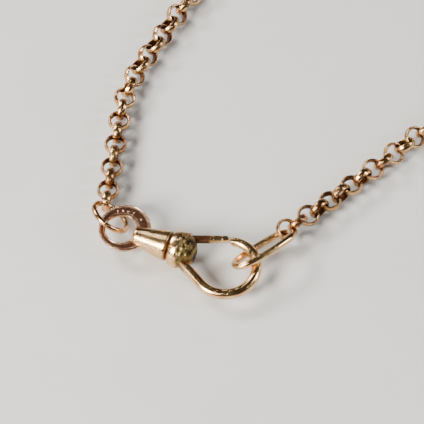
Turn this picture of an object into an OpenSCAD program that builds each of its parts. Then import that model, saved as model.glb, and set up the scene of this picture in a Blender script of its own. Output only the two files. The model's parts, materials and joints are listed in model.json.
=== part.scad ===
// Pocket watch chain: a belcher chain with a swivel dog clip at one end and an oval end ring at
// the other, lying as a closed loop with the clip snapped onto the end ring.
// Millimetres. +Z is up. The origin is the middle of the hook's round bend, where a watch bow hangs.
// The clip has a frame of its own: u along its axis towards the hook, v across it in the hook's
// plane, w square to both. The gate is on the +v side.

/* [Chain links] */
// Outer diameter of a link
link_od = 3.0; // [2.4:0.1:3.6]
// Radial thickness of a link's band
link_t = 0.4; // [0.3:0.05:0.5]
// Width of a link's band
link_w = 1.0; // [0.8:0.05:1.1]
// Bevel on a band's inner edges
link_inner_bevel = 0.14; // [0.1:0.01:0.18]
// Play left between two links pulled apart
link_slack = 0.18; // [0.15:0.01:0.25]

/* [Loop on the table] */
// Length of each straight run between the turns of the loop
run_len = 18; // [6:1:40]
// Heading of strand A where it leaves the jump ring, degrees from +X
strand_a_heading = 83; // [74:1:88]
// How far strand A turns to the right along its length, degrees
strand_a_turn = 23; // [10:1:30]
// Heading of strand B where it leaves the end ring, degrees from +X
strand_b_heading = 41; // [34:1:46]
// How far strand B turns to the left along its length, degrees
strand_b_turn = 3; // [0:1:8]
// Radius of the last turn before strand B
last_turn_r = 14; // [8:1:30]

/* [Hook] */
// Diameter of the hook wire
hook_wire_d = 1.4; // [1.1:0.05:1.7]
// Diameter of the hook wire at its tip
hook_tip_d = 1.1; // [0.8:0.05:1.4]
// Inner radius of the hook's round bend
hook_inner_r = 3.35; // [3:0.05:4.2]
// Yaw of the clip on the table, degrees
clip_yaw = -21; // [-30:1:-10]
// Roll of the clip about its own axis, degrees
clip_roll = 6; // [0:1:10]

/* [Clip head] */
// Largest radius of the head
head_r = 2.5; // [2.3:0.05:3]
// Length of the head
head_len = 3.5; // [3:0.1:4]
// Distance from the front of the head to the middle of the hook's bend
head_reach = 4.35; // [4.2:0.05:5]
// Sideways offset of the clip axis from the middle of the hook's bend
axis_offset = 0.4; // [0:0.1:0.6]

/* [Gate] */
// Width of the gate bar in the hook's plane
gate_w = 0.85; // [0.6:0.05:1]
// Height of the gate bar
gate_h = 0.9; // [0.6:0.05:1]
// Gap between the gate's end and the tip of the hook
gate_gap = 0.15; // [0.1:0.01:0.25]
// Diameter of the gate pin
gate_pin_d = 0.5; // [0.4:0.05:0.6]

/* [Swivel] */
// Length of the swivel barrel
barrel_len = 4.95; // [4.2:0.05:6]
// Radius of the barrel at its nose
barrel_nose_r = 1.25; // [1.1:0.05:1.5]
// Radius of the barrel at the swivel joint
barrel_joint_r = 2.1; // [1.9:0.05:2.4]
// Gap at the swivel joint
swivel_gap = 0.12; // [0.08:0.01:0.2]
// Diameter of the rivet that the barrel turns on
rivet_d = 1.0; // [0.8:0.05:1.2]

/* [Bail] */
// Outer diameter of the bail
bail_od = 6.9; // [6.6:0.1:7.6]
// Diameter of the bail's hole
bail_id = 4.0; // [3.7:0.05:4.3]
// Thickness of the bail
bail_t = 0.6; // [0.5:0.05:0.8]
// How far the hole is off the bail's middle
bail_offset = 0.55; // [0.2:0.05:0.65]

/* [Rings] */
// Outer diameter of the jump ring
jump_od = 5.8; // [5.2:0.1:6.2]
// Wire diameter of the jump ring
jump_wire_d = 0.76; // [0.6:0.02:0.9]
// Outer length of the oval end ring
oval_len = 9.9; // [9:0.1:11]
// Outer width of the oval end ring
oval_w = 5.0; // [4.6:0.1:5.6]
// Wire diameter of the oval end ring
oval_wire_d = 1.0; // [0.8:0.05:1.15]

/* [Hidden] */
$fn = 48;

// ---- colours ----
gold = [0.80, 0.56, 0.36];
gold_pale = [0.87, 0.66, 0.45];
gold_deep = [0.70, 0.45, 0.29];
patina = [0.50, 0.45, 0.26];
steel = [0.55, 0.55, 0.56];

// ---- links ----
link_r = link_od / 2;
link_ri = link_r - link_t;
link_outer_bevel = link_t * 0.4;
// Two links at right angles touch at this pitch, and lie a little closer than that.
touch_pitch = 2 * sqrt(pow(link_ri, 2) - pow(link_w / 2 - link_inner_bevel, 2));
pitch = touch_pitch - link_slack;

// ---- clip, in its own frame ----
hook_r = hook_inner_r + hook_wire_d / 2;
hook_tip_angle = 112;
hook_taper_angle = 40;
hook_tip_in = 0.35;
hook_root_angle = -121;
hook_tip_slope = 38;
head_front_u = -head_reach;
head_back_u = head_front_u - head_len;
// The head's sphere has its middle this share of the head's length behind the front.
head_mid_share = 0.63;
head_mid_u = head_front_u - head_mid_share * head_len;
head_back_r = sqrt(pow(head_r, 2) - pow(head_mid_u - head_back_u, 2));
head_bore_depth = 1.5;
rim = 0.28;
wire_sides = 24;
// How far a cut runs past what it opens, and the size of the block that trims the wire and the gate
cut_over = 0.05;
trim_block = 4;

// The hook wire: a straight root in the head, a round bend, and a tip that tapers and closes in.
hook_root = hook_r * [cos(hook_root_angle), sin(hook_root_angle)];
hook_root_ahead = 0.9;
hook_root_len = (hook_root[0] - head_mid_u - hook_root_ahead) / -sin(hook_root_angle);
hook_root_end = [
    hook_root[0] + hook_root_len * sin(hook_root_angle),
    hook_root[1] - hook_root_len * cos(hook_root_angle),
    hook_root_angle + 90,
    hook_wire_d
];
hook_steps = 48;
hook_bend = [
    for (i = [0:hook_steps])
        let (a = hook_root_angle + (hook_tip_angle - hook_root_angle) * i / hook_steps)
        let (taper = pow(max(a - hook_taper_angle, 0) / (hook_tip_angle - hook_taper_angle), 2))
        let (r = hook_r - hook_tip_in * taper)
        [r * cos(a), r * sin(a), a + 90, hook_wire_d + (hook_tip_d - hook_wire_d) * taper]
];

gate_pivot_ahead = 0.85;
gate_pivot_share = 0.76;
gate_pivot = [head_mid_u + gate_pivot_ahead, axis_offset + gate_pivot_share * head_r];
gate_tip_u = -1.05;
gate_tip_in = 0.08;
gate_tip = [gate_tip_u, hook_r - gate_tip_in];
gate_reach = norm(gate_tip - gate_pivot);
gate_angle = atan2(gate_tip[1] - gate_pivot[1], gate_tip[0] - gate_pivot[0]);
gate_boss_d = 2 * gate_pin_d;
gate_clear = 0.1;
gate_pin_clear = 0.04;
gate_bevel = 0.14;
gate_spring_t = 0.1;
gate_spring_room = 0.27;
gate_spring_gap = 0.05;
gate_spring_wall_gap = 0.02;
gate_spring_short = 0.25;
gate_slot_v = gate_pivot[1] - gate_w / 2 - gate_clear - gate_spring_room;
gate_slot_u = gate_pivot[0] - gate_boss_d / 2 - gate_clear;
seat_fit = 0.01;
// The pin's ends lie a little inside the head's ball, by this share of its radius.
gate_pin_share = 0.93;
gate_pin_len = 2 * sqrt(pow(gate_pin_share * head_r, 2) - pow(gate_pivot[1] - axis_offset, 2));

barrel_back_u = head_back_u - swivel_gap;
barrel_nose_u = barrel_back_u - barrel_len;
rivet_clear = 0.06;
rivet_head_d = rivet_d * 1.7;
rivet_head_t = 0.6;
rivet_web = 0.9;
rivet_head_gap = 0.1;
rivet_room = 0.3;
nose_bevel_len = 0.25;
nose_bevel_in = 0.3;

bail_sunk = 0.1;
bail_aside = 0.2;
bail_hole_at = [barrel_nose_u - bail_id / 2 + bail_sunk, axis_offset + bail_aside];
bail_turn = 38;
bail_at = bail_hole_at + bail_offset * [cos(bail_turn), sin(bail_turn)];
bail_bevel = 0.16;

// ---- where the clip lies ----
clip_turn = [clip_roll, 0, clip_yaw];
head_centre_z = axis_offset * sin(clip_roll);
table_z = head_centre_z - head_r;
link_z = table_z + link_r;

// A point of the clip's frame, given as [u, v], in the part's frame.
function on_clip(p) = [
    p[0] * cos(clip_yaw) - p[1] * cos(clip_roll) * sin(clip_yaw),
    p[0] * sin(clip_yaw) + p[1] * cos(clip_roll) * cos(clip_yaw),
    p[1] * sin(clip_roll)
];

// ---- jump ring ----
// It leans over the bail's wall, with its centre near the middle of that wall and under it.
jump_r = (jump_od - jump_wire_d) / 2;
jump_side = 143;
jump_in = 0.15;
jump_under = 0.45;
jump_out = (bail_od + bail_id) / 4 - jump_in;
jump_centre = on_clip(bail_hole_at + jump_out * [cos(jump_side), sin(jump_side)]) - [0, 0, jump_under];
jump_lean = 40;
jump_lean_heading = 30;
jump_turn = [0, jump_lean, jump_lean_heading];
// The wire's middle where the first link of strand A hangs, as an angle round the ring
jump_link_angle = 70;

// A point at an angle round the jump ring's wire.
function on_jump(a) = jump_centre + jump_r * [
    cos(jump_lean_heading) * cos(jump_lean) * cos(a) - sin(jump_lean_heading) * sin(a),
    sin(jump_lean_heading) * cos(jump_lean) * cos(a) + cos(jump_lean_heading) * sin(a),
    -sin(jump_lean) * cos(a)
];

// ---- oval end ring ----
// Four arcs: two small ones at the ends and two large ones at the sides.
oval_half_len = (oval_len - oval_wire_d) / 2;
oval_half_w = (oval_w - oval_wire_d) / 2;
oval_end_r = oval_half_w * 0.85;
oval_end_x = oval_half_len - oval_end_r;
oval_drop = oval_half_w - oval_end_r;
oval_side_y = (pow(oval_end_x, 2) - pow(oval_drop, 2)) / (2 * oval_drop);
oval_side_r = oval_side_y + oval_half_w;
oval_end_angle = atan2(oval_side_y, oval_end_x);
oval_end_steps = 36;
oval_side_steps = 12;
oval_path = concat(
    open_arc([oval_end_x, 0], oval_end_r, -oval_end_angle, oval_end_angle, oval_end_steps, oval_wire_d),
    open_arc([0, -oval_side_y], oval_side_r, oval_end_angle, 180 - oval_end_angle, oval_side_steps,
             oval_wire_d),
    open_arc([-oval_end_x, 0], oval_end_r, 180 - oval_end_angle, 180 + oval_end_angle, oval_end_steps,
             oval_wire_d),
    open_arc([0, oval_side_y], oval_side_r, 180 + oval_end_angle, 360 - oval_end_angle, oval_side_steps,
             oval_wire_d)
);
oval_heading = 39;
oval_tilt = -40;
oval_dip = 3;
oval_centre = [4.95, 2.7, 0.14];
oval_turn = [oval_tilt, oval_dip, oval_heading];

// ---- strands ----
// The step taken along an arc of a length that turns from one heading to another.
function arc_step(h0, h1, len) =
    abs(h1 - h0) < 0.001
        ? len * [cos(h0), sin(h0)]
        : len / (h1 - h0) * 180 / PI * [sin(h1) - sin(h0), cos(h0) - cos(h1)];

// Strand A: links 1 to strand_a_n, the even ones flat where it hinges.
strand_a_n = 22;
strand_a_lead = 1.0;
strand_a_len = strand_a_lead + (strand_a_n - 1) * pitch;
// Strand B: links 1 to strand_b_n, the odd ones flat where it hinges.
strand_b_n = 17;
strand_b_len = (strand_b_n - 1) * pitch;

// Strand A is straight, then turns, then is straight again.
turn_from = 0.36;
turn_to = 0.6;
strand_a_end_heading = strand_a_heading - strand_a_turn;
function strand_a_share(s) = min(max((s / strand_a_len - turn_from) / (turn_to - turn_from), 0), 1);
function strand_a_heading_at(s) = strand_a_heading - strand_a_turn * strand_a_share(s);
function strand_a_step(s) =
    let (s1 = min(s, turn_from * strand_a_len))
    let (s2 = min(max(s - s1, 0), (turn_to - turn_from) * strand_a_len))
    arc_step(strand_a_heading, strand_a_heading, s1)
    + (s2 > 0 ? arc_step(strand_a_heading, strand_a_heading_at(s), s2) : [0, 0])
    + arc_step(strand_a_end_heading, strand_a_end_heading, s - s1 - s2);

// Strand B is one gentle arc.
strand_b_end_heading = strand_b_heading + strand_b_turn;
function strand_b_heading_at(s) = strand_b_heading + strand_b_turn * s / strand_b_len;
function strand_b_step(s) = arc_step(strand_b_heading, strand_b_heading_at(s), s);

function link_a_s(i) = strand_a_lead + (i - 1) * pitch;
function link_b_s(i) = (i - 1) * pitch;

link_hang = 0.72;
link_hang_side = 90;
function flat_point(p) = [p[0], p[1]];
// The first link of strand A hangs round the jump ring's wire, with this gap before it is pulled tight.
strand_a_gap = 0.07;
strand_a_hang = link_ri - jump_wire_d / 2 - strand_a_gap;
strand_a_start = flat_point(on_jump(jump_link_angle))
    - strand_a_hang * [cos(strand_a_heading), sin(strand_a_heading)];
// The first link of strand B hangs on the far corner of the end ring's end.
strand_b_start = flat_point(oval_centre)
    + oval_half_len * [cos(oval_heading), sin(oval_heading)]
    + link_hang * [cos(oval_heading + link_hang_side), sin(oval_heading + link_hang_side)];

// ---- the rest of the loop ----
// Between the strands and their copies lie three turns. Only the middle turn's radius and the
// first turn's close the loop, because each strand's copy runs the opposite way.
closing = strand_b_start - strand_a_start;
first_unit = [
    sin(strand_a_end_heading) - sin(strand_b_heading),
    cos(strand_b_heading) - cos(strand_a_end_heading)
];
middle_unit = [
    sin(strand_b_end_heading) + sin(strand_a_heading),
    -cos(strand_a_heading) - cos(strand_b_end_heading)
];
last_unit = [
    sin(strand_b_end_heading) - sin(strand_a_end_heading),
    cos(strand_a_end_heading) - cos(strand_b_end_heading)
];
left_to_close = closing - last_turn_r * last_unit;
solve_by = first_unit[0] * middle_unit[1] - first_unit[1] * middle_unit[0];
first_turn_r = (left_to_close[0] * middle_unit[1] - left_to_close[1] * middle_unit[0]) / solve_by;
middle_turn_r = (first_unit[0] * left_to_close[1] - first_unit[1] * left_to_close[0]) / solve_by;
first_turn_len = first_turn_r * (strand_a_end_heading - strand_b_heading) * PI / 180;
middle_turn_len = middle_turn_r * (180 + strand_b_end_heading - strand_a_heading) * PI / 180;
last_turn_len = last_turn_r * (strand_a_end_heading - strand_b_end_heading) * PI / 180;

// A stretch starts on a flat link and ends on one, so it holds an even number of links. They may lie
// closer than the pitch, but stretch it by no more than this share of the play.
play_used = 0.4;
function even_links(len) = 2 * max(1, ceil(len / (pitch + play_used * link_slack) / 2));
first_n = even_links(run_len + first_turn_len);
middle_n = even_links(middle_turn_len);
last_n = even_links(run_len + last_turn_len);

// A point along a straight run and the turn that follows it, at a share of the way.
function run_and_turn(run, h0, h1, turn_len, share) =
    let (s = share * (run + turn_len))
    let (on_turn = max(s - run, 0))
    arc_step(h0, h0, min(s, run))
    + (on_turn > 0 ? arc_step(h0, h0 + (h1 - h0) * on_turn / turn_len, on_turn) : [0, 0]);
function run_and_turn_heading(run, h0, h1, turn_len, share) =
    h0 + (h1 - h0) * max(share * (run + turn_len) - run, 0) / turn_len;

// Where each stretch of the far side begins
far_b_start = strand_a_start + strand_a_step(strand_a_len)
    + run_and_turn(run_len, strand_a_end_heading, strand_b_heading, first_turn_len, 1);
far_a_start = far_b_start + strand_b_step(strand_b_len)
    + run_and_turn(0, strand_b_end_heading, strand_a_heading - 180, middle_turn_len, 1);
far_a_end = far_a_start - strand_a_step(strand_a_len);

// The links of strand A's copy are closed up between its start and its fourth link.
hinge_a = [4, 6, 8];
hinge_b = [5, 7];
function far_a_s(i) = i < hinge_a[0] ? i * link_a_s(hinge_a[0]) / hinge_a[0] : link_a_s(i);

// ---- how the links are turned ----
// Even or odd links lie flat where a strand hinges, and roll half way over between there and
// the strand's end.
half_roll = 45;
roll_links = 5;
function half_roll_at(i, from, n) = half_roll * min(max(min(i - from, n - i) / roll_links, 0), 1);
function strand_a_roll(i) = (i % 2 == 0 ? 0 : 90) + half_roll_at(i, hinge_a[2], strand_a_n);
strand_b_first_roll = 31;
function strand_b_roll(i) = (i % 2 == 1 ? 0 : 90) + half_roll_at(i, hinge_b[1], strand_b_n)
    + strand_b_first_roll * max(hinge_b[0] - i, 0) / (hinge_b[0] - 1);

// The first links climb to the ring that they hang on. The first of strand A lies this far above
// the jump ring's wire, and the first of strand B this far below the end ring's middle.
strand_a_rise = 0.241;
strand_b_drop = 0.348;
strand_a_climb = on_jump(jump_link_angle)[2] + strand_a_rise - link_z;
strand_b_climb = oval_centre[2] - strand_b_drop - link_z;
climbing_links = 4;
function climb(height, i) = height * max(climbing_links + 1 - i, 0) / climbing_links;

// ---- node names ----
function two_digits(i) = str(i < 10 ? "0" : "", i);
STRAND_A = [for (i = [1:strand_a_n]) str("strand_a_link_", two_digits(i))];
STRAND_B = [for (i = [1:strand_b_n]) str("strand_b_link_", two_digits(i))];
FAR_A = ["far_strand_a_links_1", "far_strand_a_links_2", "far_strand_a_links_3", "far_strand_a_links_4"];
FAR_B = ["far_strand_b_links_1", "far_strand_b_links_2", "far_strand_b_links_3"];

// ---- shapes ----
module in_clip() {
    rotate(clip_turn)
        children();
}

// A solid turned about the clip's axis, from an outline of [u, radius] points.
module turned(outline) {
    translate([0, axis_offset, 0])
        rotate([0, 90, 0])
            rotate_extrude()
                polygon([for (p = outline) [p[1], p[0]]]);
}

// The points of an arc as [x, y, heading, wire diameter], for a wire of one thickness. The arc's
// last point is left out, because it is the next arc's first.
function open_arc(centre, r, from, to, steps, wire_d) = [
    for (i = [0:steps - 1])
        let (a = from + (to - from) * i / steps)
        [centre[0] + r * cos(a), centre[1] + r * sin(a), a + 90, wire_d]
];

// A round wire along a flat path.
module wire(path, closed) {
    n = len(path);
    polyhedron(
        points = [
            for (p = path, k = [0:wire_sides - 1])
                let (a = k * 360 / wire_sides)
                let (out = p[3] / 2 * cos(a))
                [p[0] - out * sin(p[2]), p[1] + out * cos(p[2]), p[3] / 2 * sin(a)]
        ],
        faces = concat(
            [
                for (j = [0:(closed ? n - 1 : n - 2)], k = [0:wire_sides - 1])
                    let (here = j * wire_sides)
                    let (next = (j + 1) % n * wire_sides)
                    let (k1 = (k + 1) % wire_sides)
                    [here + k, next + k, next + k1, here + k1]
            ],
            closed ? [] : [
                [for (k = [0:wire_sides - 1]) k],
                [for (k = [wire_sides - 1:-1:0]) (n - 1) * wire_sides + k]
            ]
        )
    );
}

// The hook's end and the gate's end are cut along the same slanted plane.
module at_gate_end(shift) {
    translate([gate_tip[0] + shift, gate_tip[1], 0])
        rotate([0, 0, hook_tip_slope])
            children();
}

module link_band() {
    rotate_extrude()
        polygon([
            [link_ri, -link_w / 2 + link_inner_bevel],
            [link_ri + link_inner_bevel, -link_w / 2],
            [link_r - link_outer_bevel, -link_w / 2],
            [link_r, -link_w / 2 + 2 * link_outer_bevel],
            [link_r, link_w / 2 - 2 * link_outer_bevel],
            [link_r - link_outer_bevel, link_w / 2],
            [link_ri + link_inner_bevel, link_w / 2],
            [link_ri, link_w / 2 - link_inner_bevel]
        ]);
}

module link(at, height, heading, roll) {
    color(gold)
        translate([at[0], at[1], link_z + height])
            rotate([roll, 0, heading])
                link_band();
}

// ---- the clip ----
// The bore in the head for the straight end of the hook wire.
module hook_root_bore() {
    translate([hook_root[0], hook_root[1], 0])
        rotate([0, 0, hook_root_angle])
            rotate([90, 0, 0])
                cylinder(d = hook_wire_d + 2 * seat_fit, h = hook_root_len + cut_over, $fn = 72);
}

module hook() {
    color(gold_pale)
        in_clip()
            difference() {
                wire(concat([hook_root_end], hook_bend), false);
                at_gate_end(gate_gap / 2)
                    translate([-trim_block, -trim_block / 2, -trim_block / 2])
                        cube(trim_block);
            }
}

module clip_head() {
    color(patina)
        in_clip()
            difference() {
                intersection() {
                    translate([head_mid_u, axis_offset, 0])
                        sphere(r = head_r, $fn = 96);
                    turned([
                        [head_back_u, 0],
                        [head_back_u, head_back_r - rim],
                        [head_back_u + rim, head_back_r + 0.2 * rim],
                        [head_back_u + rim, 2 * head_r],
                        [head_front_u, 2 * head_r],
                        [head_front_u, 0]
                    ]);
                }
                hook_root_bore();
                rivet_shank(rivet_d + 2 * seat_fit, cut_over);
                translate([gate_slot_u, gate_slot_v, -gate_h / 2 - gate_clear])
                    cube([2 * head_len, head_r, gate_h + 2 * gate_clear]);
                translate([gate_pivot[0], gate_pivot[1], -gate_pin_len / 2])
                    cylinder(d = gate_pin_d + 2 * seat_fit, h = gate_pin_len);
            }
}

module gate() {
    color(gold_pale)
        in_clip()
            difference() {
                translate([gate_pivot[0], gate_pivot[1], 0])
                    rotate([0, 0, gate_angle]) {
                        translate([0, 0, -gate_h / 2])
                            cylinder(d = gate_boss_d, h = gate_h);
                        rotate([90, 0, 90])
                            linear_extrude(gate_reach + gate_w)
                                bevelled_section(gate_w, gate_h, gate_bevel);
                    }
                at_gate_end(-gate_gap / 2)
                    translate([0, -trim_block / 2, -trim_block / 2])
                        cube(trim_block);
                translate([gate_pivot[0], gate_pivot[1], -gate_h])
                    cylinder(d = gate_pin_d + 2 * gate_pin_clear, h = 2 * gate_h);
            }
}

module bevelled_section(w, h, bevel) {
    polygon([
        [-w / 2, -h / 2 + bevel],
        [-w / 2 + bevel, -h / 2],
        [w / 2 - bevel, -h / 2],
        [w / 2, -h / 2 + bevel],
        [w / 2, h / 2 - bevel],
        [w / 2 - bevel, h / 2],
        [-w / 2 + bevel, h / 2],
        [-w / 2, h / 2 - bevel]
    ]);
}

module gate_pin() {
    color(gold_deep)
        in_clip()
            translate([gate_pivot[0], gate_pivot[1], -gate_pin_len / 2])
                cylinder(d = gate_pin_d, h = gate_pin_len);
}

// A leaf that lies along the inner wall of the gate's slot.
module gate_spring() {
    color(steel)
        in_clip()
            translate([gate_slot_u + gate_spring_gap, gate_slot_v + gate_spring_wall_gap, -gate_h / 2])
                cube([head_front_u - gate_slot_u - gate_spring_short, gate_spring_t, gate_h]);
}

// ---- the swivel and the bail ----
module rivet_shank(d, extra) {
    translate([barrel_back_u - rivet_web - rivet_head_gap, axis_offset, 0])
        rotate([0, 90, 0])
            cylinder(d = d, h = rivet_web + rivet_head_gap + swivel_gap + head_bore_depth + extra);
}

module swivel_rivet() {
    color(gold_deep)
        in_clip()
            union() {
                rivet_shank(rivet_d, 0);
                translate([barrel_back_u - rivet_web - rivet_head_gap - rivet_head_t, axis_offset, 0])
                    rotate([0, 90, 0])
                        cylinder(d = rivet_head_d, h = rivet_head_t);
            }
}

module swivel_barrel() {
    color(gold_pale)
        in_clip()
            difference() {
                turned([
                    [barrel_nose_u, 0],
                    [barrel_nose_u, barrel_nose_r - nose_bevel_in],
                    [barrel_nose_u + nose_bevel_len, barrel_nose_r],
                    [barrel_back_u - rim, barrel_joint_r],
                    [barrel_back_u, barrel_joint_r - rim],
                    [barrel_back_u, 0]
                ]);
                translate([barrel_back_u - rivet_web - cut_over, axis_offset, 0])
                    rotate([0, 90, 0])
                        cylinder(d = rivet_d + 2 * rivet_clear, h = rivet_web + 2 * cut_over);
                translate([barrel_back_u - rivet_web - rivet_room - rivet_head_t, axis_offset, 0])
                    rotate([0, 90, 0])
                        cylinder(d = rivet_head_d + rivet_room, h = rivet_head_t + rivet_room);
                translate([bail_at[0], bail_at[1], -bail_t / 2 - seat_fit])
                    cylinder(d = bail_od + 2 * seat_fit, h = bail_t + 2 * seat_fit, $fn = 96);
            }
}

// A flat eye whose hole is off its middle, with both rims bevelled.
module bail() {
    color(gold_deep)
        in_clip()
            translate([bail_at[0], bail_at[1], 0])
                difference() {
                    rotate_extrude($fn = 96)
                        polygon([
                            [0, -bail_t / 2],
                            [bail_od / 2 - bail_bevel, -bail_t / 2],
                            [bail_od / 2, -bail_t / 2 + bail_bevel],
                            [bail_od / 2, bail_t / 2 - bail_bevel],
                            [bail_od / 2 - bail_bevel, bail_t / 2],
                            [0, bail_t / 2]
                        ]);
                    translate([bail_hole_at[0] - bail_at[0], bail_hole_at[1] - bail_at[1], 0])
                        rotate_extrude($fn = 72)
                            polygon([
                                [0, -bail_t],
                                [bail_id / 2 + bail_t / 2 + bail_bevel, -bail_t],
                                [bail_id / 2, -bail_t / 2 + bail_bevel],
                                [bail_id / 2, bail_t / 2 - bail_bevel],
                                [bail_id / 2 + bail_t / 2 + bail_bevel, bail_t],
                                [0, bail_t]
                            ]);
                }
}

// ---- the rings ----
module jump_ring() {
    color(gold)
        translate(jump_centre)
            rotate(jump_turn)
                rotate_extrude()
                    translate([jump_r, 0])
                        circle(d = jump_wire_d, $fn = 32);
}

module oval_end_ring() {
    color(gold_pale)
        translate(oval_centre)
            rotate(oval_turn)
                wire(oval_path, true);
}

// ---- the strands ----
module strand_a_link(i) {
    s = link_a_s(i);
    link(strand_a_start + strand_a_step(s), climb(strand_a_climb, i), strand_a_heading_at(s),
         strand_a_roll(i));
}

module strand_b_link(i) {
    s = link_b_s(i);
    link(strand_b_start + strand_b_step(s), climb(strand_b_climb, i), strand_b_heading_at(s),
         strand_b_roll(i));
}

// Links of a strand's copy on the far side, from one number to another.
module far_a_links(from, to) {
    for (i = [from:to]) {
        s = far_a_s(i);
        link(far_a_start - strand_a_step(s), 0, strand_a_heading_at(s) + 180, strand_a_roll(i));
    }
}

module far_b_links(from, to) {
    for (i = [from:to]) {
        s = link_b_s(i);
        link(far_b_start + strand_b_step(s), 0, strand_b_heading_at(s), (i % 2 == 1 ? 0 : 90)
             + half_roll_at(i, hinge_b[1], strand_b_n));
    }
}

// Links 1 to count of a straight run and turn that is divided into n.
module turn_links(start, run, h0, h1, turn_len, n, count) {
    for (i = [1:count])
        link(start + run_and_turn(run, h0, h1, turn_len, i / n), 0,
             run_and_turn_heading(run, h0, h1, turn_len, i / n), i % 2 == 0 ? 0 : 90);
}

module first_turn_links() {
    turn_links(strand_a_start + strand_a_step(strand_a_len), run_len, strand_a_end_heading,
               strand_b_heading, first_turn_len, first_n, first_n);
}

module middle_turn_links() {
    turn_links(far_b_start + strand_b_step(strand_b_len), 0, strand_b_end_heading,
               strand_a_heading - 180, middle_turn_len, middle_n, middle_n);
}

// The last link of this turn hooks into the end of strand B.
module last_turn_links() {
    turn_links(far_a_end, run_len, strand_a_end_heading - 180,
               strand_b_end_heading - 180, last_turn_len, last_n, last_n - 1);
}

hook();
clip_head();
gate();
gate_pin();
gate_spring();
swivel_barrel();
swivel_rivet();
bail();
jump_ring();
oval_end_ring();
for (i = [1:strand_a_n]) strand_a_link(i);
for (i = [1:strand_b_n]) strand_b_link(i);
first_turn_links();
middle_turn_links();
last_turn_links();
far_a_links(1, hinge_a[0]);
far_a_links(hinge_a[0] + 1, hinge_a[1]);
far_a_links(hinge_a[1] + 1, hinge_a[2]);
far_a_links(hinge_a[2] + 1, strand_a_n);
far_b_links(2, hinge_b[0]);
far_b_links(hinge_b[0] + 1, hinge_b[1]);
far_b_links(hinge_b[1] + 1, strand_b_n);
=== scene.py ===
"""The looks of the pocket watch chain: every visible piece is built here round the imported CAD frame."""

import json
import math

import bmesh
import bpy
import numpy as np
from mathutils import Matrix, Vector, noise


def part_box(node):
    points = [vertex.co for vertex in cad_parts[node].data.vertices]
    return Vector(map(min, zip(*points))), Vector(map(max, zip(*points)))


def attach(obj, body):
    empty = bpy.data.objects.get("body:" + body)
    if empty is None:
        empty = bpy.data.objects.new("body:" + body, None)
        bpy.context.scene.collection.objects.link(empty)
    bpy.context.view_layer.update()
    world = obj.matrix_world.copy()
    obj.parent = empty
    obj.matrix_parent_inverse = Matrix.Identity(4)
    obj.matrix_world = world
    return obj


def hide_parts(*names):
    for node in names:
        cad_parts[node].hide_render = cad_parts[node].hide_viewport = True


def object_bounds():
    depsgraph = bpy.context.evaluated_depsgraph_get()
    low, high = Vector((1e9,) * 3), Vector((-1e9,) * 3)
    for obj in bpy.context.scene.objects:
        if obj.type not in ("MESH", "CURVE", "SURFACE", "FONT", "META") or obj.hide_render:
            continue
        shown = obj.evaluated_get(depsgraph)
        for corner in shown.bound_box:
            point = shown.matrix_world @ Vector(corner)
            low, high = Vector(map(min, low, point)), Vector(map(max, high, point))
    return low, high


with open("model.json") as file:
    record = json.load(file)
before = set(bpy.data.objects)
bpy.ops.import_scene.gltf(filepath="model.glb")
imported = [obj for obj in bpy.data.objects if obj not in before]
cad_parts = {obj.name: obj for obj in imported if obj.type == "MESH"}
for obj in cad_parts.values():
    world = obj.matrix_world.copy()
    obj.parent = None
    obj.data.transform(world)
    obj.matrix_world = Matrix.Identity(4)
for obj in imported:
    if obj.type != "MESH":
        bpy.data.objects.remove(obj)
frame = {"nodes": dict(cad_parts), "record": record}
cad_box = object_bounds()
NODES = frame["nodes"]
MM = 0.001


def turned(degrees, axis):
    return Matrix.Rotation(math.radians(degrees), 4, axis)


# ---- the clip's own frame: u along its axis, v across it in the hook's plane, w square to both ----
CLIP_YAW = -21.0
CLIP_ROLL = 6.0
IN_CLIP = turned(CLIP_YAW, "Z") @ turned(CLIP_ROLL, "X")
TO_METRES = Matrix.Scale(MM, 4)
AXIS_V = 0.4

HOOK_R = 4.05
HOOK_WIRE = 1.4
HOOK_TIP_WIRE = 1.1
HOOK_ROOT_DEG = -121
HOOK_TIP_DEG = 112
HOOK_TAPER_DEG = 40
HOOK_TIP_IN = 0.35
TIP_SLOPE = 38

HEAD_R = 2.5
HEAD_FRONT = -4.35
HEAD_BACK = -7.85
HEAD_MID = -6.555
PATINA_FROM = -6.55

GATE_PIVOT = (-5.705, 2.3)
GATE_END = (-1.05, 3.97)
GATE_W = 0.85
GATE_H = 0.9
GATE_GAP = 0.15
GATE_BOSS_R = 0.5

BARREL_BACK = -7.97
BARREL_NOSE = -12.92
BARREL_NOSE_R = 1.25
BARREL_JOINT_R = 2.1
RIM = 0.28

BAIL_R = 3.45
BAIL_HOLE_R = 2.0
BAIL_T = 0.6
BAIL_HOLE = (BARREL_NOSE - 1.9, 0.6)
BAIL_OFFSET = 0.55
BAIL_TURN = 38
BAIL_BEVEL = 0.16

LINK_R = 1.5
LINK_RI = 1.1
LINK_W = 1.0


# ---------------------------------------------------------------- meshes
def smoothstep(x, lo, hi):
    t = min(max((x - lo) / (hi - lo), 0.0), 1.0)
    return t * t * (3 - 2 * t)


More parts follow.
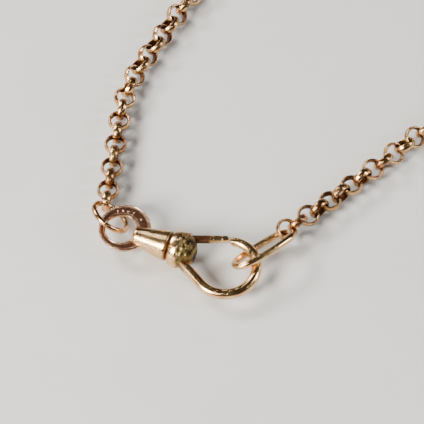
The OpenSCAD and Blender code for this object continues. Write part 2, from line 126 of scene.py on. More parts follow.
def make_object(name, verts, faces, body, replaced, material, sharp=38, tarnish=None):
    """A piece from points in metres. tarnish holds one number a vertex, 1 where the metal is darkened: real
    tarnish and patina in some places, painted shade in others.
    """
    mesh = bpy.data.meshes.new(name)
    mesh.from_pydata([tuple(v) for v in verts], [], faces)
    mesh.validate()
    bm = bmesh.new()
    bm.from_mesh(mesh)
    bmesh.ops.recalc_face_normals(bm, faces=bm.faces)
    bm.to_mesh(mesh)
    bm.free()
    for p in mesh.polygons:
        p.use_smooth = True
    mesh.set_sharp_from_angle(angle=math.radians(sharp))
    if tarnish is not None:
        layer = mesh.attributes.new("tarnish", "FLOAT", "POINT")
        layer.data.foreach_set("value", np.asarray(tarnish, np.float32))
    mesh.materials.append(material)
    obj = bpy.data.objects.new(name, mesh)
    bpy.context.scene.collection.objects.link(obj)
    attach(obj, body)
    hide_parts(*replaced)
    return obj


def grid_faces(rows, cols, close_rows, close_cols, base=0):
    faces = []
    for i in range(rows if close_rows else rows - 1):
        for j in range(cols if close_cols else cols - 1):
            a = base + i * cols + j
            b = base + i * cols + (j + 1) % cols
            c = base + (i + 1) % rows * cols + (j + 1) % cols
            d = base + (i + 1) % rows * cols + j
            faces.append((a, b, c, d))
    return faces


def end_caps(rows, cols, base=0):
    """The two faces that close the ends of a tube of points."""
    last = base + (rows - 1) * cols
    return [tuple(base + k for k in range(cols))[::-1], tuple(last + k for k in range(cols))]


def rounded(sharp_corners, radius, steps):
    """A closed outline with its corners rounded."""
    out = []
    n = len(sharp_corners)
    for k in range(n):
        p = Vector(sharp_corners[k])
        before = Vector(sharp_corners[k - 1]) - p
        after = Vector(sharp_corners[(k + 1) % n]) - p
        cut = min(radius, before.length * 0.45, after.length * 0.45)
        a = p + before.normalized() * cut
        b = p + after.normalized() * cut
        for s in range(steps + 1):
            t = s / steps
            out.append(a * (1 - t) ** 2 + p * 2 * t * (1 - t) + b * t**2)
    return out


def sweep(path, sides, closed, section=None):
    """Rings of points round a path of [point, tangent, wire diameter], in a plane whose normal is w."""
    verts = []
    for p, t, d in path:
        side = Vector((-t.y, t.x, 0))
        for k in range(sides):
            a = 2 * math.pi * k / sides
            r = d / 2 * (section(a, p) if section else 1)
            verts.append(p + side * (r * math.cos(a)) + Vector((0, 0, r * math.sin(a))))
    faces = grid_faces(len(path), sides, closed, True)
    if not closed:
        faces += end_caps(len(path), sides)
    return verts, faces


def in_clip(points):
    return [IN_CLIP @ (Vector(p) * MM) for p in points]


def revolve(profile, around, wobble):
    """A closed solid turned about the clip's axis from [u, radius] points that start and end on the axis."""
    inner = profile[1:-1]
    verts = []
    for u, r in inner:
        for k in range(around):
            a = 2 * math.pi * k / around
            p = Vector((u, AXIS_V + r * math.cos(a), r * math.sin(a)))
            verts.append(wobble(p))
    faces = grid_faces(len(inner), around, False, True)
    verts += [Vector((profile[0][0], AXIS_V, 0)), Vector((profile[-1][0], AXIS_V, 0))]
    first, last = len(verts) - 2, len(verts) - 1
    end = (len(inner) - 1) * around
    for k in range(around):
        faces.append((first, (k + 1) % around, k))
        faces.append((last, end + k, end + (k + 1) % around))
    return verts, faces


def cut(obj, cutters):
    """Takes the cutters out of a piece and leaves a plain mesh."""
    for c in cutters:
        m = obj.modifiers.new("cut", "BOOLEAN")
        m.operation, m.solver, m.object = "DIFFERENCE", "EXACT", c
    bpy.context.view_layer.update()
    dg = bpy.context.evaluated_depsgraph_get()
    mesh = bpy.data.meshes.new_from_object(obj.evaluated_get(dg))
    obj.modifiers.clear()
    old = obj.data
    obj.data = mesh
    bpy.data.meshes.remove(old)
    for c in cutters:
        bpy.data.objects.remove(c)


def block(points, matrix=Matrix.Identity(4)):
    """A convex cutter from eight corner points."""
    bm = bmesh.new()
    for p in points:
        bm.verts.new(matrix @ Vector(p))
    bmesh.ops.convex_hull(bm, input=bm.verts)
    mesh = bpy.data.meshes.new("cutter")
    bm.to_mesh(mesh)
    bm.free()
    obj = bpy.data.objects.new("cutter", mesh)
    bpy.context.scene.collection.objects.link(obj)
    return obj


def corners(lo, hi):
    return [(x, y, z) for x in (lo[0], hi[0]) for y in (lo[1], hi[1]) for z in (lo[2], hi[2])]


# ---------------------------------------------------------------- materials
BLACK = (0, 0, 0, 1)
WHITE = (1, 1, 1, 1)
PATCH_SCALE = 420
SPOT_SCALE = 1500
DULL_SCALE = 900
SCRATCH_SCALE = 2600
FINE_SCALE = 9000
PIT_SCALE = 2300
PATCH_BRIGHTER = 1.08
DULL_SPREAD = 0.16
SHADE_AND_TARNISH_ROUGHER = 0.2
FINE_HEIGHT = 0.35
SCRATCH_HEIGHT = 0.5
BUMP_DEPTH = 0.00002


def gold(name, tone, deep, rough, grain, shade_and_tarnish_colour, tarnish_share=0.0, pit=0.0):
    """Polished gold alloy: toned patches, fine scratches, dulled places, and darkening where a vertex says,
    which is real tarnish and patina in some places and painted shade in others.
    """
    mat = bpy.data.materials.new(name)
    mat.use_nodes = True
    t = mat.node_tree
    n, link = t.nodes, t.links
    bsdf = n["Principled BSDF"]
    bsdf.inputs["Metallic"].default_value = 1.0
    place = n.new("ShaderNodeTexCoord")

    def noise_node(scale, detail, stretch=None, rough_value=0.55):
        node = n.new("ShaderNodeTexNoise")
        node.inputs["Scale"].default_value = scale
        node.inputs["Detail"].default_value = detail
        node.inputs["Roughness"].default_value = rough_value
        if stretch:
            m = n.new("ShaderNodeMapping")
            m.inputs["Scale"].default_value = stretch
            m.inputs["Rotation"].default_value = (0.3, 0.5, 0.7)
            link.new(place.outputs["Object"], m.inputs["Vector"])
            link.new(m.outputs["Vector"], node.inputs["Vector"])
        else:
            link.new(place.outputs["Object"], node.inputs["Vector"])
        return node

    def ramp(source, stops):
        node = n.new("ShaderNodeValToRGB")
        node.color_ramp.elements[0].position, node.color_ramp.elements[0].color = stops[0]
        node.color_ramp.elements[1].position, node.color_ramp.elements[1].color = stops[-1]
        for pos, col in stops[1:-1]:
            e = node.color_ramp.elements.new(pos)
            e.color = col
        link.new(source, node.inputs["Fac"])
        return node

    def maths(kind, a, b):
        node = n.new("ShaderNodeMath")
        node.operation = kind
        for socket, value in zip(node.inputs, (a, b)):
            if isinstance(value, (int, float)):
                socket.default_value = value
            else:
                link.new(value, socket)
        return node.outputs[0]

    patches = noise_node(PATCH_SCALE, 4)
    bright = [min(c * PATCH_BRIGHTER, 1) for c in tone]
    colour = ramp(patches.outputs["Fac"], [(0.36, (*deep, 1)), (0.5, (*tone, 1)), (0.68, (*bright, 1))])
    # the vertex darkening: real tarnish and patina on some pieces, painted shade on others
    shade_and_tarnish_input = n.new("ShaderNodeAttribute")
    shade_and_tarnish_input.attribute_name = "tarnish"
    spots = noise_node(SPOT_SCALE, 5, rough_value=0.65)
    spotted = ramp(spots.outputs["Fac"], [(0.46, BLACK), (0.62, WHITE)])
    share = maths("MULTIPLY", spotted.outputs["Color"], tarnish_share)
    dark = maths("MINIMUM", maths("ADD", shade_and_tarnish_input.outputs["Fac"], share), 1.0)
    mix = n.new("ShaderNodeMix")
    mix.data_type = "RGBA"
    mix.inputs[7].default_value = (*shade_and_tarnish_colour, 1)
    link.new(dark, mix.inputs[0])
    link.new(colour.outputs["Color"], mix.inputs[6])
    link.new(mix.outputs[2], bsdf.inputs["Base Color"])
    dull = noise_node(DULL_SCALE, 3)
    patchy = maths("ADD", maths("MULTIPLY", dull.outputs["Fac"], DULL_SPREAD), rough - DULL_SPREAD / 2)
    link.new(maths("ADD", patchy, maths("MULTIPLY", dark, SHADE_AND_TARNISH_ROUGHER)), bsdf.inputs["Roughness"])
    scratch = noise_node(SCRATCH_SCALE, 2, stretch=(1, 26, 26))
    lines = ramp(scratch.outputs["Fac"], [(0.6, BLACK), (0.68, WHITE)])
    fine = noise_node(FINE_SCALE, 3)
    raised = maths("MULTIPLY", fine.outputs["Fac"], FINE_HEIGHT)
    height = maths("SUBTRACT", raised, maths("MULTIPLY", lines.outputs["Color"], SCRATCH_HEIGHT))
    if pit:
        holes = n.new("ShaderNodeTexVoronoi")
        holes.inputs["Scale"].default_value = PIT_SCALE
        link.new(place.outputs["Object"], holes.inputs["Vector"])
        pits = ramp(holes.outputs["Distance"], [(0.05, BLACK), (0.35, WHITE)])
        in_patina = maths("MULTIPLY", pits.outputs["Color"], shade_and_tarnish_input.outputs["Fac"])
        height = maths("ADD", height, maths("MULTIPLY", in_patina, pit))
    bump = n.new("ShaderNodeBump")
    bump.inputs["Strength"].default_value = grain
    bump.inputs["Distance"].default_value = BUMP_DEPTH
    link.new(height, bump.inputs["Height"])
    link.new(bump.outputs["Normal"], bsdf.inputs["Normal"])
    return mat


PALE = gold("polished_gold", (0.87, 0.57, 0.27), (0.66, 0.35, 0.16), 0.17, 0.35, (0.14, 0.055, 0.025), 0.22)
LINK = gold("link_gold", (0.82, 0.50, 0.23), (0.50, 0.24, 0.10), 0.16, 0.4, (0.09, 0.033, 0.014), 0.30)
DARK = gold("dark_gold", (0.80, 0.50, 0.32), (0.52, 0.27, 0.16), 0.24, 0.5, (0.095, 0.042, 0.024), 0.15)
STEEL = gold("spring_steel", (0.55, 0.55, 0.56), (0.40, 0.40, 0.41), 0.3, 0.3, (0.1, 0.09, 0.08), 0.1)


BLOTCH_SCALE = 900


def patina_gold():
    """The head: polished behind, pitted and toned olive and copper in front."""
    tone, deep, shade_and_tarnish_colour = (0.87, 0.57, 0.27), (0.66, 0.35, 0.16), (0.2, 0.15, 0.05)
    mat = gold("worn_gold", tone, deep, 0.19, 0.6, shade_and_tarnish_colour, 0.1, pit=0.8)
    t = mat.node_tree
    n, link = t.nodes, t.links
    place = n.new("ShaderNodeTexCoord")
    blotch = n.new("ShaderNodeTexNoise")
    blotch.inputs["Scale"].default_value = BLOTCH_SCALE
    blotch.inputs["Detail"].default_value = 5
    link.new(place.outputs["Object"], blotch.inputs["Vector"])
    tones = n.new("ShaderNodeValToRGB")
    e = tones.color_ramp.elements
    e[0].position, e[0].color = 0.40, (0.03, 0.015, 0.008, 1)
    e[1].position, e[1].color = 0.64, (0.60, 0.22, 0.08, 1)
    olive = e.new(0.46)
    olive.color = (0.13, 0.10, 0.038, 1)
    straw = e.new(0.58)
    straw.color = (0.32, 0.22, 0.075, 1)
    link.new(blotch.outputs["Fac"], tones.inputs["Fac"])
    mix = next(x for x in n if x.type == "MIX")
    link.new(tones.outputs["Color"], mix.inputs[7])
    return mat


HEAD = patina_gold()


# ---------------------------------------------------------------- hook
HOOK_ROOT_AHEAD = 0.9
ROOT_STEPS = 14
BEND_STEPS = 120


def hook_path():
    a0 = math.radians(HOOK_ROOT_DEG)
    root = Vector((HOOK_R * math.cos(a0), HOOK_R * math.sin(a0), 0))
    along = Vector((math.sin(a0), -math.cos(a0), 0))
    length = (root.x - HEAD_MID - HOOK_ROOT_AHEAD) / -math.sin(a0)
    path = []
    for s in range(ROOT_STEPS, 0, -1):
        path.append((root + along * (length * s / ROOT_STEPS), -along, HOOK_WIRE))
    for i in range(BEND_STEPS + 1):
        deg = HOOK_ROOT_DEG + (HOOK_TIP_DEG - HOOK_ROOT_DEG) * i / BEND_STEPS
        taper = (max(deg - HOOK_TAPER_DEG, 0) / (HOOK_TIP_DEG - HOOK_TAPER_DEG)) ** 2
        r = HOOK_R - HOOK_TIP_IN * taper
        a = math.radians(deg)
        p = Vector((r * math.cos(a), r * math.sin(a), 0))
        wire = HOOK_WIRE + (HOOK_TIP_WIRE - HOOK_WIRE) * taper
        path.append((p, Vector((-math.sin(a), math.cos(a), 0)), wire))
    return path


def worn_round(seed, depth):
    """A wire's section with shallow filed flats and dents, never outside the round."""

    def section(a, p):
        place = Vector((p.x * 0.9 + seed, p.y * 0.9, math.sin(a) * 0.8))
        dent = noise.noise(place + Vector((0, 0, math.cos(a) * 0.8)))
        return 1 - depth * (0.5 + 0.5 * dent)

    return section


def slanted_tip(shift, low, high):
    """A cutter with one side along the slant where the gate meets the hook's tip."""
    turn = Matrix.Translation(Vector((GATE_END[0] + shift, GATE_END[1], 0))) @ turned(TIP_SLOPE, "Z")
    return block(corners(low, high), IN_CLIP @ TO_METRES @ turn)


verts, faces = sweep(hook_path(), 40, False, worn_round(3.1, 0.018))
# painted shade: the hook darkens where it goes into the head's front
hook_painted_shade = [0.75 * smoothstep(-v.x, 4.5, 5.1) for v in verts]
hook = make_object("Hook", in_clip(verts), faces, "clip", ["hook"], PALE, 30, hook_painted_shade)
cut(hook, [slanted_tip(GATE_GAP / 2, (-4, -2, -2), (0, 2, 2))])


# ---------------------------------------------------------------- head
def head_profile():
    back_r = math.sqrt(HEAD_R**2 - (HEAD_MID - HEAD_BACK) ** 2)
    shoulder_u = HEAD_BACK + RIM
    shoulder_r = back_r + 0.2 * RIM
    pts = [
        (HEAD_BACK, 0),
        (HEAD_BACK, back_r * 0.4),
        (HEAD_BACK, back_r - RIM - 0.04),
        (HEAD_BACK + 0.03, back_r - RIM + 0.02),
    ]
    for s in range(1, 5):
        t = s / 5
        pts.append((HEAD_BACK + RIM * t, back_r - RIM + (shoulder_r - back_r + RIM) * t))
    start = math.acos(min(max((shoulder_u - HEAD_MID) / HEAD_R, -1), 1))
    end = math.acos((HEAD_FRONT - HEAD_MID) / HEAD_R)
    steps = 74
    for i in range(steps + 1):
        a = start + (end - start) * i / steps
        pts.append((HEAD_MID + HEAD_R * math.cos(a), HEAD_R * math.sin(a) if i else shoulder_r))
    flat = HEAD_R * math.sin(end)
    for s in (0.8, 0.6, 0.4, 0.2):
        pts.append((HEAD_FRONT, flat * s))
    pts.append((HEAD_FRONT, 0))
    return pts


PATINA_RAGGED = 0.35
PATINA_BLEND = 0.35
PATINA_DEPTH = 0.05
LUMP_DEPTH = 0.09
PIT_REACH = 0.42
PIT_DEPTH = 0.5
POLISH_DEPTH = 0.008
HEAD_SEAM_FROM, HEAD_SEAM_TO = 7.55, 7.85


def patina_share(p):
    """How far the front's patina covers a point of the head, from 0 to 1."""
    ragged = PATINA_RAGGED * noise.noise(Vector((p.x * 1.1, p.y * 1.1, p.z * 1.1 + 5)))
    return smoothstep(p.x + ragged, PATINA_FROM, PATINA_FROM + PATINA_BLEND)


def head_wobble(p):
    """Lumps and pits in the patina and a slight hand-polished unevenness elsewhere, all inward."""
    lump = LUMP_DEPTH * max(0.0, min(1.0, 0.5 + noise.fractal(p * 1.9, 0.8, 2.1, 4)))
    pit = max(0.0, PIT_REACH - noise.voronoi(p * 1.7)[0][0]) * PIT_DEPTH
    polish = POLISH_DEPTH * (1 + noise.noise(p * 0.7))
    depth = patina_share(p) * (PATINA_DEPTH + lump + pit) + polish
    centre = Vector((HEAD_MID, AXIS_V, 0))
    return p + (centre - p).normalized() * depth


verts, faces = revolve(head_profile(), 144, head_wobble)
head_patina_and_painted_shade = []
for v in verts:
    front = patina_share(v)
    # the front's darkening is the head's real patina; the darkening at the back, where the head meets the
    # barrel, is painted shade in the joint's groove
    seam = smoothstep(-v.x, HEAD_SEAM_FROM, HEAD_SEAM_TO)
    head_patina_and_painted_shade.append(front * 0.95 + (1 - front) * 0.55 * seam)
head = make_object(
    "Clip_head", in_clip(verts), faces, "clip", ["clip_head"], HEAD, 40, head_patina_and_painted_shade
)
SLOT_PLAY = 0.1
SPRING_ROOM = 0.27
SLOT_LENGTH = 5.5
SLOT_DEPTH = 2.5
slot_v = GATE_PIVOT[1] - GATE_W / 2 - SLOT_PLAY - SPRING_ROOM
slot_u = GATE_PIVOT[0] - GATE_BOSS_R - SLOT_PLAY
slot_low = (slot_u, slot_v, -GATE_H / 2 - SLOT_PLAY)
slot_high = (slot_u + SLOT_LENGTH, slot_v + SLOT_DEPTH, GATE_H / 2 + SLOT_PLAY)
cut(head, [block(corners(slot_low, slot_high), IN_CLIP @ TO_METRES)])


# ---------------------------------------------------------------- gate
GATE_EDGE_R = 0.2
GATE_STEPS = 40
GATE_CROWN = 0.1
BOSS_BEVEL = 0.08
BOSS_AROUND = 40


def gate_mesh():
    """A bar with softened edges from a round boss to past the slanted end."""
    pivot = Vector((*GATE_PIVOT, 0))
    arm = Vector((*GATE_END, 0)) - pivot
    reach = arm.length + GATE_W
    along = arm.normalized()
    side = Vector((-along.y, along.x, 0))
    half_w, half_h = GATE_W / 2, GATE_H / 2
    box = [(-half_w, -half_h), (half_w, -half_h), (half_w, half_h), (-half_w, half_h)]
    outline = rounded(box, GATE_EDGE_R, 5)
    rows = []
    for i in range(GATE_STEPS + 1):
        s = reach * i / GATE_STEPS
        crown = 1 - GATE_CROWN * smoothstep(s, reach * 0.35, reach * 0.8)
        rows.append([pivot + along * s + side * (q.x * crown) + Vector((0, 0, q.y * crown)) for q in outline])
    verts = [p for row in rows for p in row]
    cols = len(outline)
    faces = grid_faces(len(rows), cols, False, True) + end_caps(len(rows), cols)
    base = len(verts)
    rim = [
        (GATE_BOSS_R - BOSS_BEVEL, -half_h),
        (GATE_BOSS_R, -half_h + BOSS_BEVEL),
        (GATE_BOSS_R, half_h - BOSS_BEVEL),
        (GATE_BOSS_R - BOSS_BEVEL, half_h),
    ]
    for r, z in rim:
        for k in range(BOSS_AROUND):
            a = 2 * math.pi * k / BOSS_AROUND
            verts.append(pivot + Vector((r * math.cos(a), r * math.sin(a), z)))
    faces += grid_faces(len(rim), BOSS_AROUND, False, True, base)
    faces += end_caps(len(rim), BOSS_AROUND, base)
    return verts, faces


verts, faces = gate_mesh()
# painted shade: the gate bar darkens near the head, in the head's shadow
gate_painted_shade = [0.9 * smoothstep(-v.x, 3.0, 3.5) for v in verts]
gate = make_object("Gate", in_clip(verts), faces, "gate", ["gate"], PALE, 30, gate_painted_shade)
cut(gate, [slanted_tip(-GATE_GAP / 2, (0, -3, -3), (6, 3, 3))])


# ---------------------------------------------------------------- barrel
NOSE_ROUND = 0.25
TAPER_STEPS = 30
BARREL_DENT = 0.018


def barrel_profile():
    length = BARREL_BACK - RIM - BARREL_NOSE - NOSE_ROUND
    slope = (BARREL_JOINT_R - BARREL_NOSE_R) / length
    pts = [
        (BARREL_NOSE, 0),
        (BARREL_NOSE, 0.5),
        (BARREL_NOSE, BARREL_NOSE_R - 0.34),
        (BARREL_NOSE + 0.03, BARREL_NOSE_R - 0.24),
        (BARREL_NOSE + 0.12, BARREL_NOSE_R - 0.1),
        (BARREL_NOSE + NOSE_ROUND, BARREL_NOSE_R),
    ]
    for i in range(1, TAPER_STEPS):
        s = length * i / TAPER_STEPS
        pts.append((BARREL_NOSE + NOSE_ROUND + s, BARREL_NOSE_R + slope * s))
    pts += [(BARREL_BACK - RIM, BARREL_JOINT_R - 0.01), (BARREL_BACK - 0.18, BARREL_JOINT_R - 0.06)]
    pts += [(BARREL_BACK - 0.05, BARREL_JOINT_R - 0.2), (BARREL_BACK, BARREL_JOINT_R - RIM)]
    pts += [(BARREL_BACK, 1.0), (BARREL_BACK, 0)]
    return pts


def barrel_wobble(p):
    """Shallow dents, inward from the barrel's axis."""
    dent = 0.5 + 0.5 * noise.noise(Vector((p.x * 0.6, p.y * 0.9, p.z * 0.9 + 9)))
    out = Vector((0, p.y - AXIS_V, p.z))
    return p - out.normalized() * (BARREL_DENT * dent) if out.length > 0.1 else p


verts, faces = revolve(barrel_profile(), 128, barrel_wobble)
# painted shade: the barrel's back darkens in the groove where it meets the head
barrel_painted_shade = [0.8 * smoothstep(v.x, BARREL_BACK - 0.42, BARREL_BACK - 0.05) for v in verts]
make_object(
    "Swivel_barrel",
    in_clip(verts),
    faces,
    "swivel",
    ["swivel_barrel"],
    PALE,
    40,
    barrel_painted_shade,
)


# ---------------------------------------------------------------- bail
BAIL_AROUND = 160
BAIL_RIM = 0.2
FIELD_SINK = 0.05
FIELD_EDGE = 0.05


def bail_mesh():
    """A flat eye with raised bright rims round a sunk field, with how dark each point is: the sunk field is
    painted dark brown as painted shade and painted dark reflection on the flat.
    """
    hole = Vector((*BAIL_HOLE, 0))
    turn = math.radians(BAIL_TURN)
    to_middle = hole + BAIL_OFFSET * Vector((math.cos(turn), math.sin(turn), 0)) - hole
    half = BAIL_T / 2
    sunk = half - FIELD_SINK
    field_from = BAIL_RIM + FIELD_EDGE
    # one rim's section, as distance from the wall, height and darkness (a little painted shade at the field's
    # edge)
    rim = [
        (0.0, half - BAIL_BEVEL, 0.0),
        (0.05, half - 0.06, 0.0),
        (0.10, half - 0.01, 0.0),
        (BAIL_RIM, half, 0.0),
        (field_from, sunk, 0.15),
    ]
    verts, marks = [], []
    for k in range(BAIL_AROUND):
        a = 2 * math.pi * k / BAIL_AROUND
        d = Vector((math.cos(a), math.sin(a), 0))
        inner = hole + d * BAIL_HOLE_R
        # the outer circle in the same direction from the hole's middle
        b = to_middle.dot(d)
        reach = b + math.sqrt(max(BAIL_R**2 - to_middle.length_squared + b * b, 0))
        wall = (hole + d * reach - inner).length
        top = [(inner + d * x, z, g) for x, z, g in rim]
        for f in (0.25, 0.5, 0.75):
            x = field_from + (wall - 2 * BAIL_RIM - 2 * FIELD_EDGE) * f
            # the sunk field is fully darkened: painted shade and painted dark reflection
            top.append((inner + d * x, sunk, 1.0))
        top += [(inner + d * (wall - x), z, g) for x, z, g in reversed(rim)]
        under = [(p, -z, g) for p, z, g in reversed(top[2:-2])]
        for p, z, g in top + under:
            verts.append(p + Vector((0, 0, z)))
            marks.append(g)
    return verts, grid_faces(BAIL_AROUND, len(top) + len(under), True, True), marks


def rectangle(half_x, half_y):
    return [(-half_x, -half_y), (half_x, -half_y), (half_x, half_y), (-half_x, half_y)]


def punched_marks():
    """Raised plain shapes in a row along the bail's wide side."""
    hole = Vector((*BAIL_HOLE, 0))
    lozenge = [(0, -0.24), (0.17, 0), (0, 0.24), (-0.17, 0)]
    disc = [(0.16 * math.cos(k * math.pi / 7), 0.16 * math.sin(k * math.pi / 7)) for k in range(14)]
    triangle = [(-0.18, -0.15), (0.18, -0.15), (0, 0.2)]
    shapes = [
        (118, 2.6, lozenge),
        (103, 2.68, disc),
        (88, 2.76, rectangle(0.15, 0.15)),
        (74, 2.84, rectangle(0.06, 0.26)),
        (46, 2.98, triangle),
    ]
    verts, faces = [], []
    top = BAIL_T / 2 - 0.012
    layers = ((1.25, top - 0.06), (0.95, top - 0.02), (0.55, top), (0.2, top + 0.008))
    for deg, r, outline in shapes:
        a = math.radians(deg)
        out, tan = Vector((math.cos(a), math.sin(a), 0)), Vector((math.sin(a), -math.cos(a), 0))
        c = hole + r * out
        base, n = len(verts), len(outline)
        for grow, z in layers:
            for x, y in outline:
                verts.append(c + tan * (x * grow) + out * (y * grow) + Vector((0, 0, z)))
        faces += grid_faces(len(layers), n, False, True, base) + end_caps(len(layers), n, base)
    return verts, faces


verts, faces, bail_marks = bail_mesh()
stamp_verts, stamp_faces = punched_marks()
faces += [tuple(len(verts) + k for k in f) for f in stamp_faces]
# the field's darkening is painted shade and painted dark reflection; the stamps get a slight darkening as
# their own tone
bail_painted_shade_and_tone = [0.97 * g for g in bail_marks] + [0.1] * len(stamp_verts)
make_object("Bail", in_clip(verts + stamp_verts), faces, "swivel", ["bail"], DARK, 35, bail_painted_shade_and_tone)


# ---------------------------------------------------------------- rings
def middle_of(node):
    lo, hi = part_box(node)
    return (lo + hi) / 2


RING_SIDES = 32
RING_WEAR = 0.05


def torus_like(node, name, body, path, wire, material, seed, matrix, tarnish):
    """A round wire ring along a closed path, placed by a matrix in metres."""
    verts, faces = sweep([(p, t, wire) for p, t in path], RING_SIDES, True, worn_round(seed, RING_WEAR))
    marks = [tarnish(v) for v in verts]
    placed = [matrix @ (v * MM) for v in verts]
    return make_object(name, placed, faces, body, [node], material, 40, marks)


JUMP_R = 2.52
JUMP_WIRE = 0.76
JUMP_LEAN = 40
JUMP_HEADING = 30
JUMP_STEPS = 110
JUMP_SEAM_AT = 0.9
jump_matrix = (
    Matrix.Translation(middle_of("jump_ring")) @ turned(JUMP_HEADING, "Z") @ turned(JUMP_LEAN, "Y")
)


def on_jump_ring(a):
    return Vector((JUMP_R * math.cos(a), JUMP_R * math.sin(a), 0))


jump_path = []
for i in range(JUMP_STEPS):
    a = 2 * math.pi * i / JUMP_STEPS
    jump_path.append((on_jump_ring(a), Vector((-math.sin(a), math.cos(a), 0))))
SEAM = on_jump_ring(JUMP_SEAM_AT)


def jump_seam_and_painted_shade(v):
    seam = 1 - smoothstep((v - SEAM).length, 0.36, 0.5)
    # the inner side of the ring is darker: painted shade; the darkening at the seam is the solder joint's own
    # colour
    inner = smoothstep(JUMP_R - math.hypot(v.x, v.y), 0.15, 0.36)
    return 0.5 * seam + 0.35 * inner


torus_like(
    "jump_ring",
    "Jump_ring",
    "jump_ring",
    jump_path,
    JUMP_WIRE,
    LINK,
    7.7,
    jump_matrix,
    jump_seam_and_painted_shade,
)

OVAL_LEN = 9.9
OVAL_W = 5.0
OVAL_WIRE = 1.0
OVAL_HEADING = 39
OVAL_TILT = -40
OVAL_DIP = 3
OVAL_END_STEPS = 40
OVAL_SIDE_STEPS = 26
oval_matrix = (
    Matrix.Translation(middle_of("oval_end_ring"))
    @ turned(OVAL_HEADING, "Z")
    @ turned(OVAL_DIP, "Y")
    @ turned(OVAL_TILT, "X")
)


def oval_path():
    half_len, half_w = (OVAL_LEN - OVAL_WIRE) / 2, (OVAL_W - OVAL_WIRE) / 2
    end_r = half_w * 0.85
    end_x = half_len - end_r
    drop = half_w - end_r
    side_y = (end_x**2 - drop**2) / (2 * drop)
    side_r = side_y + half_w
    end = math.atan2(side_y, end_x)
    arcs = [
        ((end_x, 0), end_r, -end, end, OVAL_END_STEPS),
        ((0, -side_y), side_r, end, math.pi - end, OVAL_SIDE_STEPS),
        ((-end_x, 0), end_r, math.pi - end, math.pi + end, OVAL_END_STEPS),
        ((0, side_y), side_r, math.pi + end, 2 * math.pi - end, OVAL_SIDE_STEPS),
    ]
    path = []
    for (cx, cy), r, a0, a1, steps in arcs:
        for i in range(steps):
            a = a0 + (a1 - a0) * i / steps
            p = Vector((cx + r * math.cos(a), cy + r * math.sin(a), 0))
            path.append((p, Vector((-math.sin(a), math.cos(a), 0))))
    return path


def oval_tarnish(v):
    return 0.3 * smoothstep(noise.noise(v * 0.8), 0.1, 0.5)


torus_like(
    "oval_end_ring",
    "Oval_end_ring",
    "end_ring",
    oval_path(),
    OVAL_WIRE,
    PALE,
    1.3,
    oval_matrix,
    oval_tarnish,
)


# ---------------------------------------------------------------- links
OUTER_BEVEL = 0.16
INNER_BEVEL = 0.14
PROFILE = [
    (LINK_RI, -LINK_W / 2 + INNER_BEVEL),
    (LINK_RI + INNER_BEVEL, -LINK_W / 2),
    (LINK_R - OUTER_BEVEL, -LINK_W / 2),
    (LINK_R, -LINK_W / 2 + 2 * OUTER_BEVEL),
    (LINK_R, LINK_W / 2 - 2 * OUTER_BEVEL),
    (LINK_R - OUTER_BEVEL, LINK_W / 2),
    (LINK_RI + INNER_BEVEL, LINK_W / 2),
    (LINK_RI, LINK_W / 2 - INNER_BEVEL),
]


LINK_EDGE_R = 0.05
SEAM_STEP = 2.399
SEAM_WIDTH = 0.06
DULL_STEP = 12.9898
DULLEST = 0.34
DENT_DEPTH = 0.022
SEAM_DEPTH = 0.02
SIDE_DENT = 0.012
LINK_SEED_STEP = 31


def loose_parts(node):
    """The separate solids of a CAD node: each one's points and its faces' normals, scaled by area."""
    mesh = NODES[node].data
    count = len(mesh.vertices)
    co = np.zeros(count * 3, np.float32)
    mesh.vertices.foreach_get("co", co)
    co = co.reshape(-1, 3)
    _, same = np.unique(np.round(co, 7), axis=0, return_inverse=True)
    same = same.ravel()
    parent = list(range(same.max() + 1))

    def find(i):
        while parent[i] != i:
            parent[i] = parent[parent[i]]
            i = parent[i]
        return i

    for p in mesh.polygons:
        first = find(same[p.vertices[0]])
        for v in p.vertices[1:]:
            parent[find(same[v])] = first
    groups, normals = {}, {}
    for i in range(count):
        groups.setdefault(find(same[i]), []).append(i)
    for p in mesh.polygons:
        normals.setdefault(find(same[p.vertices[0]]), []).append(tuple(p.normal * p.area))
    parts = [(co[groups[k]], np.array(normals[k])) for k in groups]
    return sorted(parts, key=lambda part: tuple(np.round(part[0].mean(0), 5)))


def link_frame(points, normals):
    """Middle and turn of one link, from its CAD solid. Its flat sides give the axis."""
    middle = (points.max(0) + points.min(0)) / 2
    _, _, axes = np.linalg.svd(points - points.mean(0), full_matrices=False)
    along = normals @ axes[2]
    flat = np.abs(along) > 0.97 * np.linalg.norm(normals, axis=1)
    normal = Vector((normals[flat] * np.sign(along[flat])[:, None]).sum(0)).normalized()
    if normal.z < 0:
        normal.negate()
    x = Vector((1, 0, 0)) - normal * normal.x
    if x.length < 0.1:
        x = Vector((0, 1, 0)) - normal * normal.y
    x.normalize()
    y = normal.cross(x)
    m = Matrix((x, y, normal)).transposed().to_4x4()
    m.translation = Vector(middle)
    return m


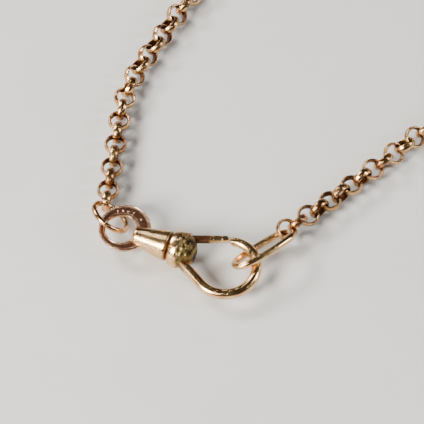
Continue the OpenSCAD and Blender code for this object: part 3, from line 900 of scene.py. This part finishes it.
def link_mesh(seed, around, steps):
    """One belcher link: softened edges, small dents and a soldered seam, with painted shade inside its hole.
    """
    outline = rounded(PROFILE, LINK_EDGE_R, steps)
    verts, tarnish = [], []
    phase = (seed * SEAM_STEP) % (2 * math.pi)
    dullness = DULLEST * (0.5 + 0.5 * math.sin(seed * DULL_STEP))
    for k in range(around):
        a = 2 * math.pi * k / around
        turn = (a - phase + math.pi) % (2 * math.pi) - math.pi
        seam = math.exp(-((turn / SEAM_WIDTH) ** 2))
        for q in outline:
            outward = smoothstep(q.x, LINK_RI + 0.12, LINK_R - 0.05)
            p = Vector((q.x * math.cos(a), q.x * math.sin(a), q.y))
            dent = 0.5 + 0.5 * noise.noise(p * 1.4 + Vector((seed * 1.7, 0, 0)))
            inward = outward * (DENT_DEPTH * dent + SEAM_DEPTH * seam)
            grow = (q.x - inward) / q.x
            verts.append(Vector((p.x * grow, p.y * grow, p.z * (1 - SIDE_DENT * dent))))
            # darker inside the hole: painted shade; the seam, dents and dullness are each link's own tone
            inside = 1 - smoothstep(q.x, LINK_RI + 0.02, LINK_RI + 0.2)
            tarnish.append(min(1.0, 0.62 * inside + 0.35 * seam + 0.12 * dent + dullness))
    return verts, grid_faces(around, len(outline), True, True), tarnish


def link_piece(node, body, first_seed, near):
    verts, faces, tarnish = [], [], []
    for i, (points, normals) in enumerate(loose_parts(node)):
        v, f, t = link_mesh(first_seed + i, 64 if near else 40, 3 if near else 2)
        m = link_frame(points, normals)
        base = len(verts)
        verts += [m @ (p * MM) for p in v]
        faces += [tuple(base + k for k in face) for face in f]
        tarnish += t
    name = node[0].upper() + node[1:]
    make_object(name, verts, faces, body, [node], LINK, 32, tarnish)


body_of_node = {}
for body_name, members in frame["record"]["behaviour"]["bodies"].items():
    for member in members:
        body_of_node[member] = body_name
seed = 1
for node in sorted(n for n in NODES if "link" in n):
    near = node.startswith("strand")
    link_piece(node, body_of_node[node], seed, near)
    seed += LINK_SEED_STEP

# ---------------------------------------------------------------- the CAD nodes that stay
for node, material in (("gate_pin", DARK), ("swivel_rivet", DARK), ("gate_spring", STEEL)):
    data = NODES[node].data
    data.materials.clear()
    data.materials.append(material)


# ---------------------------------------------------------------- floor, light and camera
def floor_material():
    mat = bpy.data.materials.new("pale_floor")
    mat.use_nodes = True
    n, link = mat.node_tree.nodes, mat.node_tree.links
    bsdf = n["Principled BSDF"]
    bsdf.inputs["Roughness"].default_value = 0.75
    place = n.new("ShaderNodeTexCoord")
    grain = n.new("ShaderNodeTexNoise")
    grain.inputs["Scale"].default_value = 60
    grain.inputs["Detail"].default_value = 4
    link.new(place.outputs["Object"], grain.inputs["Vector"])
    tint = n.new("ShaderNodeValToRGB")
    tint.color_ramp.elements[0].color = (0.60, 0.585, 0.56, 1)
    tint.color_ramp.elements[1].color = (0.66, 0.645, 0.62, 1)
    link.new(grain.outputs["Fac"], tint.inputs["Fac"])
    link.new(tint.outputs["Color"], bsdf.inputs["Base Color"])
    return mat


floor_z = cad_box[0].z
bpy.ops.mesh.primitive_plane_add(size=6, location=(0.02, 0.045, floor_z))
floor = bpy.context.object
floor.name = "Floor"
floor.data.materials.append(floor_material())


def softbox(name, at, look, width, height, watts, colour=(1, 1, 1)):
    data = bpy.data.lights.new(name, "AREA")
    data.shape = "RECTANGLE"
    data.size, data.size_y = width, height
    data.energy = watts
    data.color = colour
    obj = bpy.data.objects.new(name, data)
    obj.location = at
    obj.rotation_euler = (Vector(look) - Vector(at)).to_track_quat("-Z", "Y").to_euler()
    bpy.context.scene.collection.objects.link(obj)


TARGET = Vector((-1.76, 8.7, 0)) * MM
softbox("Key", (-0.30, -0.24, 0.26), TARGET, 0.15, 0.22, 6.2, (1.0, 0.97, 0.92))
softbox("Top", (-0.34, 0.30, 0.34), TARGET, 0.26, 0.12, 3.4, (1.0, 0.98, 0.96))
softbox("Side", (0.42, 0.02, 0.25), TARGET, 0.08, 0.20, 1.3, (0.96, 0.97, 1.0))

world = bpy.data.worlds.new("Studio")
bpy.context.scene.world = world
world.use_nodes = True
back = world.node_tree.nodes["Background"]
back.inputs["Color"].default_value = (0.80, 0.79, 0.77, 1)
back.inputs["Strength"].default_value = 0.07

ELEVATION = math.radians(55)
DISTANCE = 1.2
FRAME_WIDTH = 55.28 * MM
camera_data = bpy.data.cameras.new("Camera")
camera_data.sensor_width = 36
camera_data.lens = 36 * DISTANCE / FRAME_WIDTH
camera_data.clip_start, camera_data.clip_end = 0.01, 20
camera = bpy.data.objects.new("Camera", camera_data)
toward = Vector((0, -math.cos(ELEVATION), math.sin(ELEVATION)))
camera.location = TARGET + toward * DISTANCE
camera.rotation_euler = (-toward).to_track_quat("-Z", "Y").to_euler()
bpy.context.scene.collection.objects.link(camera)
bpy.context.scene.camera = camera
